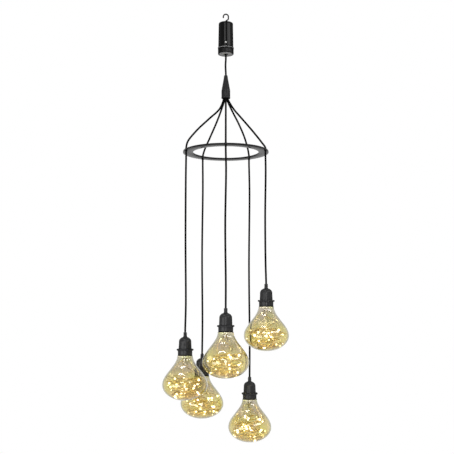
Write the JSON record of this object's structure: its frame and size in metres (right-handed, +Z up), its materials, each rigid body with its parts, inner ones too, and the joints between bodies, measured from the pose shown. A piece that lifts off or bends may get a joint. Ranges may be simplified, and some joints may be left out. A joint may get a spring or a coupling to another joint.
{
  "type": "battery hanging lamp",
  "caption": "Battery hanging lamp: below a hooked cylindrical battery case, a cone splitter and a flat ring carry bulb-shaped glass lamps with wound light wires at stepped heights.",
  "frame": {"origin": "inside of the hook's crown, where it hangs", "axes": "+Z up, -Y the front with the button, +X to the right seen from the front; the hook lies in the XZ plane"},
  "size_m": [0.3078, 0.2981, 1.0966],
  "materials": {
    "hook_steel": "satin black coating",
    "zinc_steel": "zinc plated",
    "case_black": "semi-gloss moulded",
    "seal_rubber": "smooth",
    "button_white": "translucent white",
    "cage_black": "moulded",
    "cell_wrap": "plain wrapped cell",
    "contact_brass": "plated",
    "board_green": "solder mask",
    "cable_black": "matt PVC jacket",
    "splitter_black": "fine satin moulding",
    "ring_black": "satin black",
    "holder_black": "matt moulded",
    "plug_cream": "plain",
    "globe_glass": "amber tinted, clear",
    "light_copper": "lacquered copper strand"
  },
  "bodies": {
    "hook": {"hanging_hook": "hook_steel", "hook_washer": "zinc_steel", "hook_nut": "zinc_steel"},
    "case": {"case_tube": "case_black", "case_seal": "seal_rubber"},
    "button": {"push_button": "button_white"},
    "cartridge": {"cell_cage": "cage_black", "battery_cells": "cell_wrap", "contact_plates": "contact_brass", "contact_springs": "zinc_steel", "timer_board": "board_green", "tact_switch": "zinc_steel"},
    "base": {"base_cap": "case_black", "base_board": "board_green", "base_spring": "zinc_steel", "cable_gland": "cable_black"},
    "pendant": {"main_cable": "cable_black", "splitter_shell": "splitter_black", "splitter_plug": "splitter_black", "spreader_ring": "ring_black", "ring_grommets": "seal_rubber", "leg_cable_1": "cable_black", "leg_cable_2": "cable_black", "leg_cable_3": "cable_black", "leg_cable_4": "cable_black", "leg_cable_5": "cable_black"},
    "lamp_1": {"drop_cable_1": "cable_black", "holder_cap_1": "holder_black", "holder_skirt_1": "holder_black", "wire_plug_1": "plug_cream", "globe_1": "globe_glass", "light_wire_1": "light_copper"},
    "lamp_2": {"drop_cable_2": "cable_black", "holder_cap_2": "holder_black", "holder_skirt_2": "holder_black", "wire_plug_2": "plug_cream", "globe_2": "globe_glass", "light_wire_2": "light_copper"},
    "lamp_3": {"drop_cable_3": "cable_black", "holder_cap_3": "holder_black", "holder_skirt_3": "holder_black", "wire_plug_3": "plug_cream", "globe_3": "globe_glass", "light_wire_3": "light_copper"},
    "lamp_4": {"drop_cable_4": "cable_black", "holder_cap_4": "holder_black", "holder_skirt_4": "holder_black", "wire_plug_4": "plug_cream", "globe_4": "globe_glass", "light_wire_4": "light_copper"},
    "lamp_5": {"drop_cable_5": "cable_black", "holder_cap_5": "holder_black", "holder_skirt_5": "holder_black", "wire_plug_5": "plug_cream", "globe_5": "globe_glass", "light_wire_5": "light_copper"}
  },
  "joints": [
    {"name": "hook_swivel", "type": "hinge", "parent": "hook", "child": "case", "pos_m": [0, 0, -0.022], "axis": [0, 0, 1], "continuous": true},
    {"name": "button_press", "type": "slide", "parent": "case", "child": "button", "axis": [0, 1, 0], "range_m": [0, 0.0008], "stiffness_N_per_m": 400, "springref_m": -0.001},
    {"name": "cartridge_pull", "type": "slide", "parent": "case", "child": "cartridge", "axis": [0, 0, -1], "range_m": [0, 0.072]},
    {"name": "base_unscrew", "type": "hinge", "parent": "cartridge", "child": "base", "pos_m": [0, 0, -0.0975], "axis": [0, 0, -1], "range_deg": [0, 540]},
    {"name": "cable_sway", "type": "hinge", "parent": "base", "child": "pendant", "pos_m": [0, 0, -0.1083], "axis": [0, 1, 0], "range_deg": [-8, 8]},
    {"name": "lamp_1_swing", "type": "hinge", "parent": "pendant", "child": "lamp_1", "pos_m": [0.09891, -0.03214, -0.3639], "axis": [-0.309, -0.9511, 0], "range_deg": [-2, 8]},
    {"name": "lamp_2_swing", "type": "hinge", "parent": "pendant", "child": "lamp_2", "pos_m": [0, -0.104, -0.3639], "axis": [-1, 0, 0], "range_deg": [-2, 8]},
    {"name": "lamp_3_swing", "type": "hinge", "parent": "pendant", "child": "lamp_3", "pos_m": [-0.09891, -0.03214, -0.3639], "axis": [-0.309, 0.9511, 0], "range_deg": [-2, 8]},
    {"name": "lamp_4_swing", "type": "hinge", "parent": "pendant", "child": "lamp_4", "pos_m": [-0.06113, 0.08414, -0.3639], "axis": [0.809, 0.5878, 0], "range_deg": [-2, 8]},
    {"name": "lamp_5_swing", "type": "hinge", "parent": "pendant", "child": "lamp_5", "pos_m": [0.06113, 0.08414, -0.3639], "axis": [0.809, -0.5878, 0], "range_deg": [-2, 8]}
  ]
}
